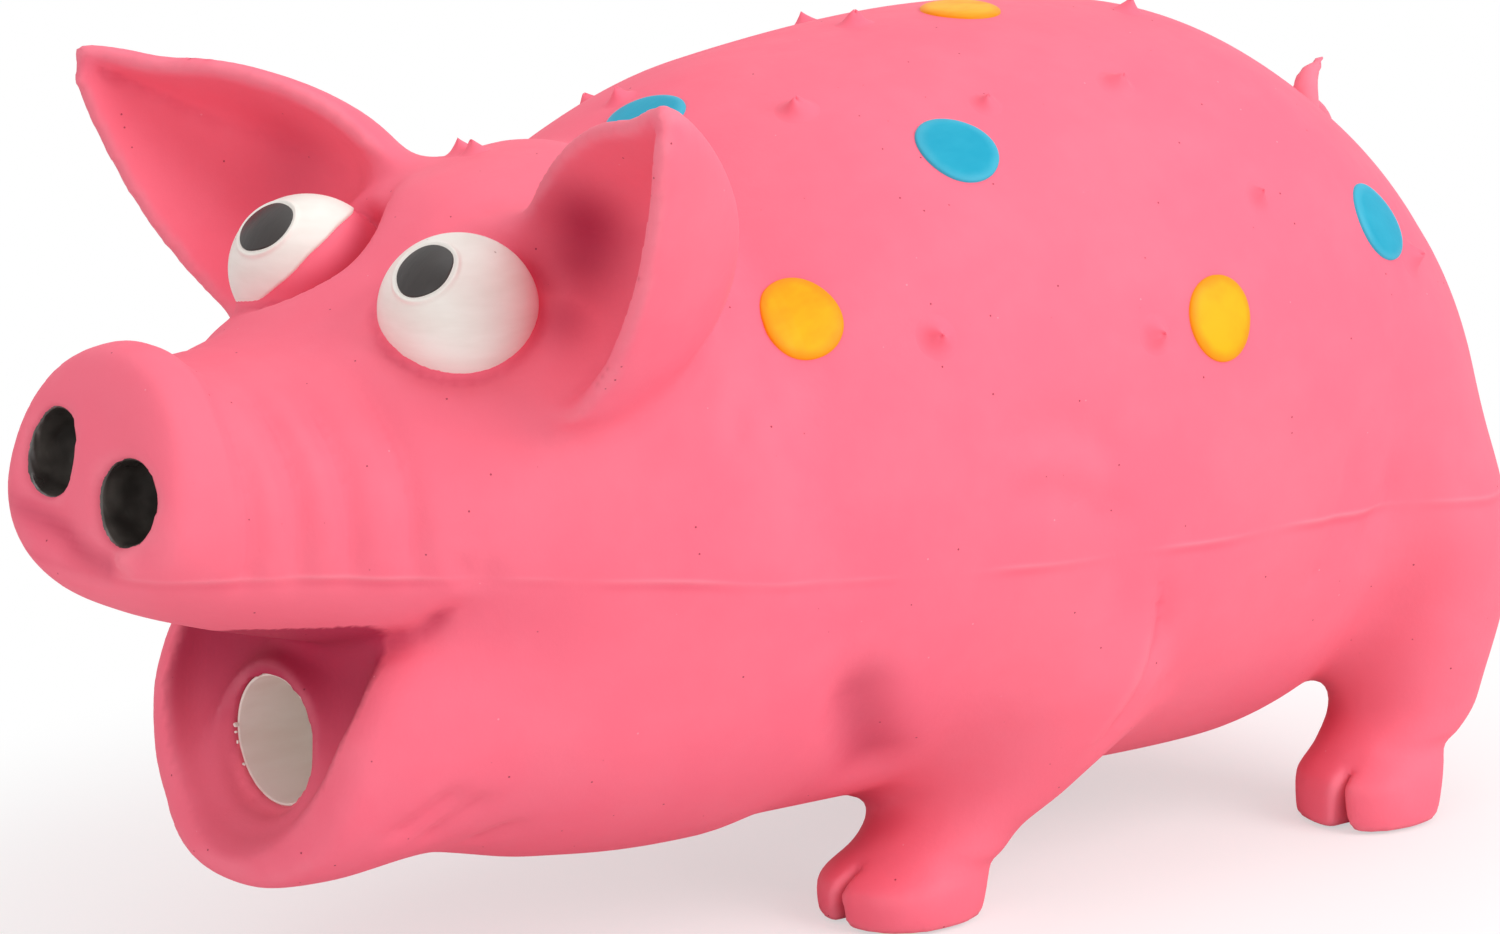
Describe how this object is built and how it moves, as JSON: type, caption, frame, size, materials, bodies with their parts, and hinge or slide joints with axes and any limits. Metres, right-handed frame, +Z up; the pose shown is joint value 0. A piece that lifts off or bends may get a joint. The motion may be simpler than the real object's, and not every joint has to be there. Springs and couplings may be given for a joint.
{
  "type": "pig dog toy",
  "caption": "Hollow latex squeeze toy for a dog, a standing pig with bulging eyes, raised dots and a grunting sounder in the throat of its open mouth.",
  "frame": {"origin": "on the ground under the middle of the toy's overall box", "axes": "-X towards the snout, -Y towards the pig's left side, which the picture shows, +Z up"},
  "size_m": [0.233, 0.12, 0.1264],
  "materials": {
    "skin": "matt pink latex",
    "eye_white": "satin white paint on latex",
    "black_paint": "gloss black paint on latex",
    "blue_paint": "satin blue paint on latex",
    "yellow_paint": "satin yellow paint on latex",
    "sounder_white": "moulded white plastic",
    "reed_film": "thin stiff plastic film"
  },
  "bodies": {
    "pig": {"torso": "skin", "head": "skin", "leg_front_left": "skin", "leg_front_right": "skin", "leg_hind_left": "skin", "leg_hind_right": "skin", "ear_left": "skin", "ear_right": "skin", "tail": "skin", "eye_left": "eye_white", "eye_right": "eye_white", "pupil_left": "black_paint", "pupil_right": "black_paint", "nostril_left": "black_paint", "nostril_right": "black_paint", "spot_blue_1": "blue_paint", "spot_blue_2": "blue_paint", "spot_blue_3": "blue_paint", "spot_blue_4": "blue_paint", "spot_blue_5": "blue_paint", "spot_blue_6": "blue_paint", "spot_yellow_1": "yellow_paint", "spot_yellow_2": "yellow_paint", "spot_yellow_3": "yellow_paint", "spot_yellow_4": "yellow_paint", "spot_yellow_5": "yellow_paint", "sounder_tube": "sounder_white", "reed_block": "sounder_white", "reed_wedge": "sounder_white"},
    "reed": {"reed": "reed_film"}
  },
  "joints": [
    {"name": "reed_beat", "type": "hinge", "parent": "pig", "child": "reed", "pos_m": [-0.0614, 0, 0.0366], "axis": [0, -1, 0], "range_deg": [-4.5, 6], "stiffness_Nm_per_rad": 0.0015}
  ]
}
